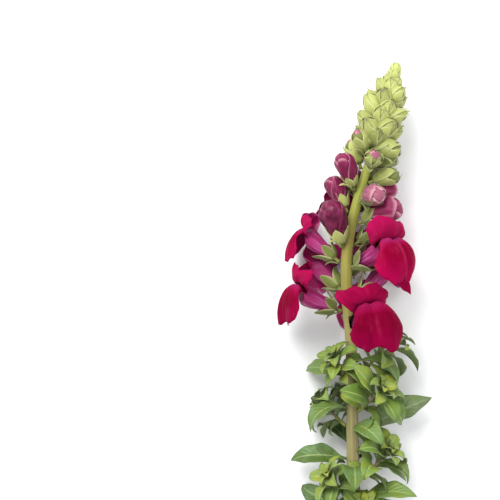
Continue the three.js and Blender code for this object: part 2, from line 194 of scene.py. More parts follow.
def turned(points: ndarray, axis: int, degrees: float | ndarray) -> ndarray:
    """Turns points about the x (0), y (1) or z (2) axis.

    Args:
        points: Points in the last axis.
        axis: The axis to turn about.
        degrees: The angle, one for all points or one for each.

    Returns:
        The turned points.
    """
    c, s = np.cos(np.radians(degrees)), np.sin(np.radians(degrees))
    a, b = points[..., (axis + 1) % 3], points[..., (axis + 2) % 3]
    out = np.array(points, float)
    out[..., (axis + 1) % 3] = a * c - b * s
    out[..., (axis + 2) % 3] = a * s + b * c
    return out


def spans(rows: int, columns: int) -> tuple:
    """A grid's places: from 0 to 1 along it, down its rows, and from -1 to 1 across it."""
    return np.linspace(0, 1, rows)[:, None], np.linspace(-1, 1, columns)[None, :]


def xyz(x: ndarray, y: ndarray, z: ndarray) -> ndarray:
    """Points from their coordinates, each of which may be the same all along or all across a grid."""
    return np.stack(np.broadcast_arrays(x, y, z), axis=-1)


def circle(count: int) -> ndarray:
    """Angles of points evenly spaced round a circle."""
    return np.linspace(0, TURN, count, endpoint=False)


def around(radius: ndarray, angle: ndarray, y: ndarray, lift: ndarray | float = 0.0) -> ndarray:
    """Points round the y axis, at a radius and an angle from its top, with the axis itself lifted."""
    return xyz(radius * np.sin(angle), y, radius * np.cos(angle) + lift)


def normals(grid: ndarray) -> ndarray:
    """Unit normals of a grid of points whose rows run along it and whose columns run across."""
    normal = np.cross(np.gradient(grid, axis=1), np.gradient(grid, axis=0))
    return normal / np.maximum(np.linalg.norm(normal, axis=-1, keepdims=True), TINY)


@dataclass
class Patch:
    """A piece of surface in millimetres. Each point has marks: u across, v along, margin and tint."""

    points: ndarray
    marks: ndarray
    faces: list
    finish: list

    def moved(self, seat: "Seat") -> "Patch":
        """The same patch in the frame of a seat."""
        return replace(self, points=seat.place(self.points))

    def settled(self) -> "Patch":
        """The same patch, pressed close to the surface where it is low, and sagging to it where near."""
        made = replace(self, points=self.points.copy())
        height = made.points[:, 2]
        low = height < SOFT_HEIGHT
        room = SOFT_HEIGHT - LOWEST
        height[low] = LOWEST + room * np.exp((height[low] - SOFT_HEIGHT) / room)
        lowest = height.min()
        if lowest < SAG:
            height[low] = SOFT_HEIGHT - (SOFT_HEIGHT - height[low]) * room / (SOFT_HEIGHT - lowest)
        return made


def join(patches: list) -> Patch:
    """Several patches as one."""
    starts = np.cumsum([0] + [len(p.points) for p in patches])
    return Patch(
        np.concatenate([p.points for p in patches]),
        np.concatenate([p.marks for p in patches]),
        [tuple(i + start for i in face) for p, start in zip(patches, starts) for face in p.faces],
        [index for p in patches for index in p.finish],
    )


def grid_faces(rows: int, columns: int, closed: bool) -> list:
    """Faces of a grid of points.

    Args:
        rows: Number of rows.
        columns: Number of columns.
        closed: True where the last column joins the first.

    Returns:
        Four point numbers for each face.
    """
    r, c = np.meshgrid(np.arange(rows - 1), np.arange(columns if closed else columns - 1), indexing="ij")
    after = (c + 1) % columns
    corners = [r * columns + c, r * columns + after, (r + 1) * columns + after, (r + 1) * columns + c]
    return np.stack([x.ravel() for x in corners], axis=1).tolist()


def marks_of(rows: int, columns: int, margin: ndarray | float = 0.0, tint: float = 0.5) -> ndarray:
    """Marks of a grid: u and v from 0 to 1, with its margin and tint."""
    v, u = np.meshgrid(np.linspace(0, 1, rows), np.linspace(0, 1, columns), indexing="ij")
    return np.stack([u, v, np.broadcast_to(margin, u.shape), np.full(u.shape, tint)], axis=-1)


def rod(rings: ndarray, finish: int = 0, tint: float = 0.5, v: ndarray | None = None) -> Patch:
    """A closed rod through rings of points, with a pole at each end.

    Args:
        rings: Rings by points by three.
        finish: Number of its finish.
        tint: Its tint.
        v: Its v mark at each ring, if that isn't 0 to 1.

    Returns:
        The closed patch.
    """
    rows, columns = rings.shape[:2]
    marks = marks_of(rows, columns, 0.0, tint)
    if v is not None:
        marks[..., 1] = v[:, None]
    poles = np.stack([rings[0].mean(0), rings[-1].mean(0)])
    first, last = rows * columns, rows * columns + 1
    ends = [((i + 1) % columns, i, first) for i in range(columns)]
    start = (rows - 1) * columns
    ends += [(start + i, start + (i + 1) % columns, last) for i in range(columns)]
    faces = grid_faces(rows, columns, True) + ends
    pole_marks = np.stack([marks[0].mean(0), marks[-1].mean(0)])
    return Patch(
        np.concatenate([rings.reshape(-1, 3), poles]),
        np.concatenate([marks.reshape(-1, 4), pole_marks]),
        faces,
        [finish] * len(faces),
    )


def sheet(grid: ndarray, marks: ndarray) -> Patch:
    """An open sheet of no thickness from a grid of points and their marks."""
    faces = grid_faces(*grid.shape[:2], False)
    return Patch(grid.reshape(-1, 3), marks.reshape(-1, 4), faces, [0] * len(faces))


def welded(patch: Patch) -> Patch:
    """The same patch, with points that coincide made one."""
    _, first, number = np.unique(np.round(patch.points, 4), axis=0, return_index=True, return_inverse=True)
    number = number.reshape(-1)
    faces = [tuple(int(number[i]) for i in face) for face in patch.faces]
    return Patch(patch.points[first], patch.marks[first], faces, patch.finish)


def thick(patch: Patch, thickness: float, finishes: tuple) -> Patch:
    """Gives an open sheet thickness, which thins to half towards its margin.

    Args:
        patch: The middle surface.
        thickness: Thickness away from the margin.
        finishes: Numbers of the finishes of its front, back and rim.

    Returns:
        A closed patch.
    """
    count = len(patch.points)
    faces = np.array(patch.faces)
    a, b, c, d = (patch.points[faces[:, i]] for i in range(4))
    facing = np.cross(c - a, d - b)
    normal = np.zeros_like(patch.points)
    for i in range(4):
        np.add.at(normal, faces[:, i], facing)
    normal /= np.maximum(np.linalg.norm(normal, axis=1, keepdims=True), TINY)
    half = normal * (thickness / 2 * (1 - 0.5 * patch.marks[:, 2] ** 3))[:, None]
    edges = np.concatenate([faces[:, [i, (i + 1) % 4]] for i in range(4)])
    forward, backward = edges[:, 0] * count + edges[:, 1], edges[:, 1] * count + edges[:, 0]
    free = edges[~np.isin(forward, backward)]
    rim = np.stack([free[:, 1], free[:, 0], free[:, 0] + count, free[:, 1] + count], axis=1)
    back = faces[:, ::-1] + count
    return Patch(
        np.concatenate([patch.points + half, patch.points - half]),
        np.concatenate([patch.marks, patch.marks]),
        faces.tolist() + back.tolist() + rim.tolist(),
        [finishes[0]] * len(faces) + [finishes[1]] * len(back) + [finishes[2]] * len(rim),
    )


def placed(name: str, data: bpy.types.ID) -> bpy.types.Object:
    """A new object in the scene, made of the given data."""
    made = bpy.data.objects.new(name, data)
    bpy.context.scene.collection.objects.link(made)
    return made


def piece(name: str, patch: Patch, finishes: tuple, slot: str) -> None:
    """Makes a patch into an object that rides on the stem and stands for the frame's node of its name.

    Args:
        name: The node's name, to which the piece's own name adds a word.
        patch: Its surface, in millimetres on the stem.
        finishes: The finishes that the patch's numbers stand for.
        slot: The name of a material slot; not used.
    """
    mesh = bpy.data.meshes.new(name + "_visual")
    mesh.from_pydata((patch.points + AXIS.shift) * MM, [], patch.faces)
    mesh.polygons.foreach_set("material_index", patch.finish)
    mesh.polygons.foreach_set("use_smooth", [True] * len(patch.faces))
    corner = np.empty(len(mesh.loops), int)
    mesh.loops.foreach_get("vertex_index", corner)
    place = patch.marks[corner, :2].astype(np.float32)
    mesh.uv_layers.new(name="place").data.foreach_set("uv", place.ravel())
    for i, mark in ((2, "margin"), (3, "tint")):
        values = patch.marks[:, i].astype(np.float32)
        mesh.attributes.new(mark, "FLOAT", "POINT").data.foreach_set("value", values)
    for finish in finishes:
        mesh.materials.append(finish.value.material())
    made = placed(name + "_visual", mesh)
    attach(made, "root")
    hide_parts(name)
    log.info("%s: %d faces", made.name, len(mesh.polygons))


# -------- The stem's axis, and the seats of what grows from it --------


@dataclass
class Seat:
    """A frame on the stem: x across a piece, y out along it and z on the side of the tip."""

    origin: ndarray
    basis: ndarray

    def place(self, points: ndarray) -> ndarray:
        """Moves points from the seat's frame to the stem's."""
        return points @ self.basis + self.origin


class StemAxis:
    """The curved middle line of the stem, and how far the frame's stem stands from it."""

    shift = np.zeros(3)
    nudge = 0.05  # how far apart the points lie that give the axis its direction
    keys = [
        (i * STATION_STEP, side, -i * STATION_STEP, height, radius)
        for i, (side, height, radius) in enumerate(zip(STEM_SIDE, STEM_HEIGHT, STEM_RADIUS))
    ]

    def find_frame(self, stalk: ndarray) -> None:
        """Finds the shift from the points of the whole stalk and the box of the frame's."""
        low, high = (np.array(corner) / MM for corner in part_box("main_stem"))
        self.shift = (low + high - stalk.min(0) - stalk.max(0)) / 2

    def radius(self, station: ndarray | float) -> ndarray:
        """The stem's radius at a station."""
        return np.interp(station, [key[0] for key in self.keys], STEM_RADIUS)

    def frame(self, station: float) -> tuple:
        """The stem's point, direction to the tip, side and top at a station."""
        ends = curve(self.keys, [station - self.nudge, station, station + self.nudge])[:, :3]
        tip = (ends[0] - ends[2]) / np.linalg.norm(ends[0] - ends[2])
        side = np.cross(tip, UP)
        side /= np.linalg.norm(side)
        return ends[1], tip, side, np.cross(side, tip)

    def ring(self, station: float, radius: ndarray, slant: float = 0.0) -> ndarray:
        """Points round the axis.

        Args:
            station: Where on the stem.
            radius: The radius at each azimuth, evenly spaced from the top round by the side.
            slant: How far the ring tips over along the stem.

        Returns:
            The ring's points.
        """
        point, tip, side, top = self.frame(station)
        angle = circle(len(radius))
        across = np.outer(radius * np.cos(angle), top) + np.outer(radius * np.sin(angle), side)
        return point + across + np.outer(np.sin(angle) * slant, tip)

    def seat(self, place: Place, foot: float) -> Seat:
        """The seat of a piece whose round foot has the given radius, and stands GAP off the stem."""
        point, tip, side, top = self.frame(place.station)
        turn, tilt = math.radians(place.azimuth), math.radians(place.lean)
        out = top * math.cos(turn) + side * math.sin(turn)
        along = tip * math.cos(tilt) + out * math.sin(tilt)
        inner = tip * math.sin(tilt) - out * math.cos(tilt)
        rise = self.radius(place.station) + GAP + foot * math.cos(tilt)
        return Seat(point + out * rise, np.stack([np.cross(along, inner), along, inner]))


AXIS = StemAxis()


# -------- Finishes --------


def colour(code: str) -> tuple:
    """An sRGB hex value as a linear colour with full alpha."""
    values = [int(code[i : i + 2], 16) / 255 for i in (0, 2, 4)]
    return (*(v / 12.92 if v <= 0.04045 else ((v + 0.055) / 1.055) ** 2.4 for v in values), 1.0)


def add(
    tree: NodeTree, kind: str, inputs: dict | None = None, out: int | str = 0, **settings: object
) -> NodeSocket:
    """Adds a shader node with its settings and links.

    Args:
        tree: The material's node tree.
        kind: The node's type, without the word that all of them start with.
        inputs: Values, hex colours or output sockets, by the name or number of the input.
        out: Name or number of the output to give back.
        settings: The node's own settings.

    Returns:
        The output socket, or None for a node that has none.
    """
    made = tree.nodes.new("ShaderNode" + kind)
    for name, value in settings.items():
        setattr(made, name, value)
    for name, value in (inputs or {}).items():
        if isinstance(value, NodeSocket):
            tree.links.new(value, made.inputs[name])
        else:
            made.inputs[name].default_value = colour(value) if isinstance(value, str) else value
    return made.outputs[out] if made.outputs else None


def bare(made: bpy.types.Material | bpy.types.World) -> NodeTree:
    """The node tree of a new material or sky, with nothing in it yet."""
    made.use_nodes = True
    made.node_tree.nodes.clear()
    return made.node_tree


class Painter:
    """Lays the colours of one material, by the marks that every piece carries.

    The marks are u across the piece, v along it, margin, which is 1 at a free edge, and tint, which tells
    one growth from the next. Tipward is the place along the whole stem, in metres.
    """

    def __init__(self, tree: NodeTree) -> None:
        """Starts with the marks alone, in an empty tree."""
        self.tree = tree
        self.base: str | NodeSocket = ""
        self.place = add(tree, "UVMap", uv_map="place")
        self.where = add(tree, "TexCoord", out="Object")
        self.tipward = add(tree, "SeparateXYZ", {0: self.where}, out="Y")
        self.u, self.v = (add(tree, "SeparateXYZ", {0: self.place}, out=axis) for axis in "XY")
        self.margin, self.tint = (
            add(tree, "Attribute", out="Fac", attribute_name=name) for name in ("margin", "tint")
        )

    def streaks(self, across: float, along: float) -> NodeSocket:
        """A fibrous pattern from 0 to 1: so many streaks across a piece, broken so many times along it."""
        scale = (across, along, 1.0)
        stretched = add(self.tree, "VectorMath", {0: self.place, 1: scale}, operation="MULTIPLY")
        return add(self.tree, "TexNoise", {"Vector": stretched, "Scale": 1.0, "Detail": 2.0})

    def cloud(self, size_mm: float) -> NodeSocket:
        """A cloudy pattern from 0 to 1, with patches of a real size in millimetres."""
        scale = 1 / (size_mm * MM)
        return add(self.tree, "TexNoise", {"Vector": self.where, "Scale": scale, "Detail": 3.0})

    def math(self, operation: str, *values: NodeSocket | float) -> NodeSocket:
        """The result of a sum on sockets and numbers."""
        return add(self.tree, "Math", dict(enumerate(values)), operation=operation)

    def coat(self, colour: str, share: float, *masks: tuple) -> None:
        """Lays a colour over the ones before it, where all of its masks let it through.

        Args:
            colour: The coat's colour.
            share: How much of the coat shows there, up to 1.
            masks: For each a pattern, the value at which it hides the coat and the one at which it doesn't.
        """
        for pattern, low, high in masks:
            bounds = {"Value": pattern, "From Min": low, "From Max": high, "To Max": share}
            share = add(self.tree, "MapRange", bounds, interpolation_type="SMOOTHSTEP")
        layers = {0: share, 6: self.base, 7: colour}
        self.base = add(self.tree, "Mix", layers, out=2, data_type="RGBA", clamp_factor=True)


@dataclass(frozen=True)
class Finish:
    """A surface of living tissue: its gloss, fuzz, thickness to light and the scale of its relief."""

    name: str
    roughness: float = 0.6
    sheen: float = 0.0
    sheen_tint: str = "ffffff"
    glow: float = 0.0  # share of the light that comes through the tissue
    relief: float = 0.0002  # depth of its relief, in metres
    shine: float = 0.5  # strength of its mirror reflection

    def paint(self, on: Painter) -> NodeSocket:
        """Lays the finish's colours, and gives the height of its relief. Each finish has its own."""
        raise NotImplementedError

    def material(self) -> bpy.types.Material:
        """The finish as a material, made once."""
        if self.name in bpy.data.materials:
            return bpy.data.materials[self.name]
        made = bpy.data.materials.new(self.name)
        tree = bare(made)
        on = Painter(tree)
        height = self.paint(on)
        skin = add(
            tree,
            "BsdfPrincipled",
            {
                "Base Color": on.base,
                "Normal": add(tree, "Bump", {"Height": height, "Distance": self.relief, "Strength": 1.0}),
                "Roughness": self.roughness,
                "IOR": 1.42,  # wet plant tissue under its wax
                "Specular IOR Level": self.shine,
                "Sheen Weight": self.sheen,
                "Sheen Roughness": 0.45,
                "Sheen Tint": self.sheen_tint,
            },
        )
        if self.glow > 0:
            through = add(tree, "BsdfTranslucent", {"Color": on.base})
            skin = add(tree, "MixShader", {0: self.glow, 1: skin, 2: through})
        add(tree, "OutputMaterial", {"Surface": skin})
        return made


@dataclass(frozen=True)
class StalkSkin(Finish):
    """Ribbed green stalk: yellow-green and downy in the spike, olive with a brown-pink flush below."""

    tender: str = "98a040"
    young: str = "938b3e"
    old: str = "958c5a"
    flush: str = "b09c78"
    groove: str = "7a7440"
    scar: str = "86683f"

    def paint(self, on: Painter) -> NodeSocket:
        """Long fibres a millimetre apart, a flush in broad bands, and corky scars."""
        fibres, bands, fine = on.streaks(14, 9), on.streaks(4.5, 3), on.streaks(40, 30)
        on.base = self.young
        on.coat(self.old, 1, (on.v, 0.3, 0.48))
        on.coat(self.flush, 0.7, (bands, 0.58, 0.4), (on.v, 0.34, 0.55))
        on.coat(self.groove, 0.7, (fibres, 0.45, 0.8))
        on.coat(self.young, 0.35, (fine, 0.55, 0.75))
        on.coat(self.tender, 0.8, (on.v, 0.27, 0.17))
        on.coat(self.scar, 1, (on.margin, 0, 1))
        return fine


@dataclass(frozen=True)
class CutPith(Finish):
    """The freshly cut end: pale, wet pith in a ring of green bark."""

    pith: str = "d3d8a4"
    bark: str = "7f8a44"

    def paint(self, on: Painter) -> NodeSocket:
        """A pale middle of cells 0.6 mm across, with a green rim."""
        grain = on.cloud(0.6)
        on.base = self.pith
        on.coat(self.bark, 1, (on.margin, 0.7, 0.85))
        on.coat(self.bark, 1, (grain, 0.4, 0.9))
        return grain


@dataclass(frozen=True)
class SepalSkin(Finish):
    """Downy sepals: fresh yellow-green, with a pale hairy margin, a dark purple-brown point, and painted
    shade towards each sepal's foot.
    """

    fresh: str = "687030"
    pale: str = "c2c872"
    rim: str = "ced398"
    point: str = "55463c"
    # the veins' colour, also laid as painted shade towards each sepal's foot
    vein_and_foot_shade: str = "79823c"
    blush: str = "a5825a"

    def paint(self, on: Painter) -> NodeSocket:
        """Painted shade towards each sepal's foot, lengthwise veins a millimetre apart, a flush in patches,
        and the margin and point picked out.
        """
        veins, cloud = on.streaks(7, 1.5), on.cloud(3)
        on.base = self.fresh
        on.coat(self.pale, 1, (on.tint, 0.1, 0.9))
        # painted shade: darker towards each sepal's foot, where the sepals overlap and the buds crowd
        on.coat(self.vein_and_foot_shade, 0.5, (on.v, 0.45, 0))
        on.coat(self.vein_and_foot_shade, 0.8, (veins, 0.5, 0.8))
        on.coat(self.rim, 0.5, (on.margin, 0.3, 1))
        on.coat(self.blush, 0.6, (on.margin, 0.5, 1), (on.v, 0.4, 0.9), (cloud, 0.45, 0.65))
        on.coat(self.point, 0.6, (on.v, 0.88, 1), (cloud, 0.42, 0.55))
        return cloud


@dataclass(frozen=True)
class PetalOutside(Finish):
    """The outside of a petal: satin magenta down the tube, with bands of painted pale highlight and painted
    shade, and crimson on the lips.
    """

    tube: str = "a22e6e"
    middle: str = "a02262"
    lobe: str = "a2145a"
    # darker magenta of the veins, also laid in broad bands as painted shade
    shade: str = "7e1244"
    # pale pink painted highlight, in bands down the tube for a satin look
    painted_highlight: str = "d272ae"
    rim: str = "d66aa2"

    def paint(self, on: Painter) -> NodeSocket:
        """Fine lengthwise veins half a millimetre apart, over bands of painted shade and of painted
        highlight.
        """
        veins, bands = on.streaks(26, 2), on.streaks(7, 1.2)
        on.base = self.tube
        on.coat(self.middle, 1, (on.v, 0.12, 0.5))
        on.coat(self.lobe, 1, (on.v, 0.5, 0.85))
        # painted shade in broad lengthwise bands
        on.coat(self.shade, 0.6, (bands, 0.42, 0.75))
        on.coat(self.shade, 0.8, (veins, 0.55, 0.85))
        # painted highlight in the bands between them, down the tube
        on.coat(self.painted_highlight, 0.6, (bands, 0.5, 0.3), (on.v, 0.8, 0.35))
        on.coat(self.rim, 0.8, (on.margin, 0.93, 1))
        return veins


@dataclass(frozen=True)
class PetalVelvet(Finish):
    """The inside of a lip: crimson velvet, which swallows light face on and catches it at the edges; its
    shade in the throat, highlight at the margins and pink sheen in patches are painted into its colour.
    """

    # crimson of the veins and mottles, also painted shade in the throat
    deep_and_throat_shade: str = "54001a"
    full: str = "86002c"
    # a lighter crimson, laid as a painted highlight along the margins, and as a lift where tinted
    bright_and_edge_highlight: str = "a00442"
    # pinker patches laid between the veins as a painted sheen
    blush: str = "c0406e"
    # the palate's lighter pink, partly a painted highlight
    palate: str = "b83880"

    def paint(self, on: Painter) -> NodeSocket:
        """Painted shade in the throat and darker on the oldest florets, a painted highlight at the margin,
        a painted pink sheen in patches, and brighter where tinted, the palate partly as a painted
        highlight.
        """
        veins, cloud = on.streaks(30, 2), on.cloud(9)
        # painted shade: the inside of the tube and the throat stay darkest, crimson only past the mouth
        on.base = self.deep_and_throat_shade
        on.coat(self.full, 1, (on.v, 0.5, 0.72))
        on.coat(self.deep_and_throat_shade, 0.5, (cloud, 0.45, 0.75))
        on.coat(self.deep_and_throat_shade, 0.4, (veins, 0.5, 0.8))
        # painted highlight along the margins
        on.coat(self.bright_and_edge_highlight, 0.85, (on.margin, 0.6, 1))
        # painted sheen: pinker patches between the veins
        on.coat(self.blush, 0.25, (cloud, 0.5, 0.3), (veins, 0.6, 0.35))
        on.coat(self.deep_and_throat_shade, 0.4, (on.tipward, 0.09, 0.06))
        on.coat(self.bright_and_edge_highlight, 0.35, (on.tint, 0, 0.12))
        # the palate's lighter pink where tinted, partly a painted highlight
        on.coat(self.palate, 1, (on.tint, 0, 1))
        return veins


@dataclass(frozen=True)
class BudPetal(Finish):
    """A closed bud's petals: satin plum, streaked lengthwise, and dusky pink with pale rims while young."""

    ripe: str = "4a0423"
    mid: str = "8a2450"
    pale: str = "a8747c"
    light: str = "a83a70"
    streak: str = "54082c"
    rim: str = "dcaab0"

    def paint(self, on: Painter) -> NodeSocket:
        """Streaks of plum a millimetre apart on pink. The tint is the bud's ripeness."""
        streaks, bands, cloud = on.streaks(14, 2.2), on.streaks(5, 1.4), on.cloud(5)
        on.base = self.pale
        on.coat(self.mid, 1, (on.tint, 0.2, 0.65))
        on.coat(self.ripe, 0.95, (cloud, 0.15, 0.7), (on.tint, 0.5, 0.9))
        on.coat(self.light, 0.75, (bands, 0.46, 0.3))
        on.coat(self.streak, 0.6, (streaks, 0.52, 0.78))
        on.coat(self.rim, 0.75, (on.margin, 0.5, 1), (on.tint, 1, 0.5))
        return streaks


@dataclass(frozen=True)
class LeafSkin(Finish):
    """A leaf's face: waxy blue-green, with a pale midrib and side veins. The tint is its age."""

    young: str = "788e38"
    old: str = "3e5822"
    bloom: str = "67864f"
    midrib: str = "97a866"
    veins_shown: float = 0.08
    vein_rate: float = 62.0  # radians of the veins' wave along a leaf, for ten veins on each side
    vein_slant: float = 0.5

    def paint(self, on: Painter) -> NodeSocket:
        """A midrib a millimetre wide, slanting side veins, and a waxy bloom in patches."""
        cloud = on.cloud(7)
        aside = on.math("ABSOLUTE", on.math("SUBTRACT", on.u, 0.5))
        slant = on.math("MULTIPLY_ADD", aside, -self.vein_slant, on.v)
        wave = on.math("SINE", on.math("MULTIPLY", slant, self.vein_rate))
        on.base = self.young
        on.coat(self.old, 1, (on.tint, 0, 1))
        on.coat(self.bloom, 0.9, (cloud, 0.38, 0.7))
        on.coat(self.midrib, self.veins_shown, (wave, 0.6, 1))
        on.coat(self.midrib, 0.8, (aside, 0.055, 0.015))
        return wave


class Skins(Enum):
    """The finishes of this plant."""

    STALK = StalkSkin("downy_ribbed_stalk", roughness=0.62, sheen=0.12, sheen_tint="f4f6dc", relief=0.0001)
    PITH = CutPith("fresh_cut_pith", roughness=0.35)
    SEPAL = SepalSkin("downy_green_sepal", roughness=0.62, sheen=0.25, sheen_tint="eef2cf", glow=0.1)
    TUBE = PetalOutside(
        "satin_magenta_petal_back", roughness=0.45, sheen=0.1, sheen_tint="e8a8d0", glow=0.12, shine=0.35
    )
    VELVET = PetalVelvet(
        "crimson_petal_velvet", roughness=0.65, sheen=0.04, sheen_tint="ff2070", glow=0.08,
        relief=0.0003, shine=0.03,
    )
    BUD = BudPetal(
        "satin_plum_bud_petal", roughness=0.45, sheen=0.04, sheen_tint="f0a8c8", glow=0.1,
        relief=0.0004, shine=0.3,
    )
    LEAF = LeafSkin(
        "waxy_leaf_face", roughness=0.48, sheen=0.05, sheen_tint="e8f4e0", glow=0.1, relief=0.0001
    )
    LEAF_BACK = LeafSkin(
        "matte_leaf_back", roughness=0.7, sheen=0.08, sheen_tint="f0f6e4", glow=0.1, relief=0.00015,
        young="7f9148", old="6c7f46", bloom="7f9066", midrib="9aa87c",
    )
    SMALL_LEAF = LeafSkin(
        "young_leaf_face", roughness=0.46, sheen=0.05, sheen_tint="eef6d8", glow=0.14, relief=0.00005,
        young="aab23c", old="64802e", bloom="74924c", midrib="aab966", veins_shown=0.02,
    )
    SMALL_STALK = StalkSkin(
        "pinkish_shoot_stalk", roughness=0.55, sheen=0.1, sheen_tint="f4f6dc", young="87903f", old="94785a"
    )


# -------- The plant's pieces --------


@dataclass
class MainStem:
    """The stalk, from under the spike's tip down to its slanted cut."""

    sides: int = 60
    ring_every: float = 1.5
    # how many there are, their depth as a part of the radius, and how far they turn for each millimetre
    ribs: tuple = (5, 0.035, 0.004)
    fibres: tuple = (17, 0.012, 0.011)
    joint_swelling: float = 0.07  # where a leaf joins the stalk, as a part of its radius
    joint_reach: float = 4.0
    scars: tuple = ((346, 64), (366, -60), (389, 150), (402, 12), (425, -110))
    scar_height: float = 0.5
    scar_length: float = 1.6  # of a scar's band along the stalk, which bends to a crescent
    scar_bend: tuple = (0.8, 0.45)  # how far the band bends, in its own lengths, and over how many radians
    scar_half: float = 0.5  # where the crescent ends, in radians from its middle
    top: float = TIP_LENGTH + GAP
    slant_fades: float = 8.0  # how far up the stalk the slant of the cut is lost
    cap: tuple = (0.12, 0.5, 0.8, 0.93)  # rings of the cut face, as parts of its radius

    def radius(self, station: float, angle: ndarray) -> tuple:
        """The stem's ribbed radius round a station, and how much of it is a scar."""
        rows = (self.ribs, self.fibres)
        ridges = sum(depth * np.cos(n * angle + turn * station) for n, depth, turn in rows)
        joints = sum(bump(station, leaf.station, self.joint_reach) for leaf in LEAVES)
        scar = np.zeros_like(angle)
        bend, to = self.scar_bend
        for at, azimuth in self.scars:
            aside = np.angle(np.exp(1j * (angle - math.radians(azimuth))))
            crescent = (station - at) / self.scar_length - bend * (aside / to) ** 2
            scar += np.exp(-(crescent**2) - (aside / self.scar_half) ** 4)
        base = AXIS.radius(station) * (1 - self.ribs[1] + ridges + self.joint_swelling * joints)
        return base + self.scar_height * scar, scar

    def patch(self) -> Patch:
        """The stalk, with ring after ring from the cut up."""
        cut = STEM_LENGTH - CUT_SLANT
        stations = np.linspace(cut, self.top, int((cut - self.top) / self.ring_every))
        slants = CUT_SLANT * np.clip(1 - (cut - stations) / self.slant_fades, 0, 1)
        outlines = [self.radius(station, circle(self.sides)) for station in stations]
        walls = [AXIS.ring(s, r, slant) for s, (r, _), slant in zip(stations, outlines, slants)]
        face = [AXIS.ring(cut, outlines[0][0] * part, CUT_SLANT * part) for part in self.cap]
        rings = np.stack(face + walls)
        v = np.concatenate([np.full(len(face), cut), stations]) / STEM_LENGTH
        made = rod(rings, 0, 0.5, v)
        marks = made.marks[: rings.shape[0] * self.sides].reshape(-1, self.sides, 4)
        marks[: len(face), :, 2] = np.array(self.cap)[:, None]
        marks[len(face) :, :, 2] = [scar for _, scar in outlines]
        pith = len(face) * self.sides
        fan = (len(rings) - 1) * self.sides
        made.finish[:pith] = [1] * pith
        made.finish[fan : fan + self.sides] = [1] * self.sides
        return made

    def build(self) -> None:
        """Makes the stalk."""
        piece("main_stem", self.patch(), (Skins.STALK, Skins.PITH), "stem")


@dataclass
class Blade:
    """A leaf or bract: folded up along its midrib, waved at its margin, and curled back to its point."""

    length: float
    width: float
    curl: float
    roll: float = 0.0
    trough: float = 0.3
    wave: float = 0.05
    sway: float = 0.0
    twist: float = 0.0
    hook: float = 1.6  # how much of its curl lies near its point
    rows: int = 26
    columns: int = 11
    thickness: float = 0.45
    ripples: tuple = (15.0, 27.0)  # radians of its two waves along its margin
    outline: tuple = (
        (0, 0.13), (0.1, 0.22), (0.24, 0.62), (0.38, 0.94), (0.5, 1), (0.66, 0.88), (0.82, 0.55),
        (0.94, 0.22), (1, 0.02),
    )

    def patch(self, tint: float, phase: float, finishes: tuple) -> Patch:
        """The blade with its foot at the origin.

        Args:
            tint: Its tint.
            phase: Where the waves of its margin start, in radians.
            finishes: Numbers of the finishes of its face, back and rim.

        Returns:
            The closed patch.
        """
        t, k = spans(self.rows, self.columns)
        bend = np.radians(self.curl) * t**self.hook
        step = self.length / (self.rows - 1)
        y, z = (
            np.concatenate([[[0]], np.cumsum(turn(bend[:-1]) * step)[:, None]]) for turn in (np.cos, np.sin)
        )
        half = self.width / 2 * curve(self.outline, t[:, 0])
        slow, fast = self.ripples
        ripple = np.sin(t * slow + phase + 0.8 * k) + 0.6 * np.sin(t * fast + 2 * phase - k)
        fold = half * (self.trough * np.abs(k) ** 1.4 + self.wave * ripple * np.abs(k) ** 3)
        x = half * k + self.sway * self.length * t**2
        grid = turned(xyz(x, y + np.sin(bend) * fold, np.cos(bend) * fold - z), 1, self.twist * t)
        marks = marks_of(self.rows, self.columns, np.abs(k) ** 2, tint)
        made = thick(sheet(grid, marks), self.thickness, finishes)
        made.points = turned(made.points, 1, self.roll)
        return made


@dataclass
class Growth:
    """A piece that grows from the stem, one of a numbered kind that share their slot and their finishes."""

    number: int
    place: Place
    kind: ClassVar[str] = ""
    slot: ClassVar[str] = ""
    skins: ClassVar[tuple] = ()
    foot: ClassVar[float] = PEDICEL_RADIUS

    def patch(self) -> Patch:
        """The piece on its own frame. Each kind has its own."""
        raise NotImplementedError

    def grown(self) -> Patch:
        """The piece on the stem, pressed where it lies on the surface."""
        return self.patch().moved(AXIS.seat(self.place, self.foot)).settled()

    def build(self) -> None:
        """Makes the piece."""
        piece(f"{self.kind}_{self.number:02d}", self.grown(), self.skins, self.slot)


@dataclass
class Leaf(Growth):
    """A large leaf on the stalk."""

    kind = "leaf"
    slot = "leaf"
    skins = (Skins.LEAF, Skins.LEAF_BACK)
    foot = LEAF_FOOT

    def patch(self) -> Patch:
        """The leaf, with a bend and waves of its own."""
        p = self.place
        chance = np.random.default_rng(100 + self.number)
        shape = Blade(
            p.length, p.width, p.curl, p.roll, chance.uniform(0.22, 0.4), chance.uniform(0.06, 0.14),
            chance.uniform(-0.09, 0.09), chance.uniform(-32, 32),
        )
        return shape.patch(p.age, chance.uniform(0, TURN), (0, 1, 1))


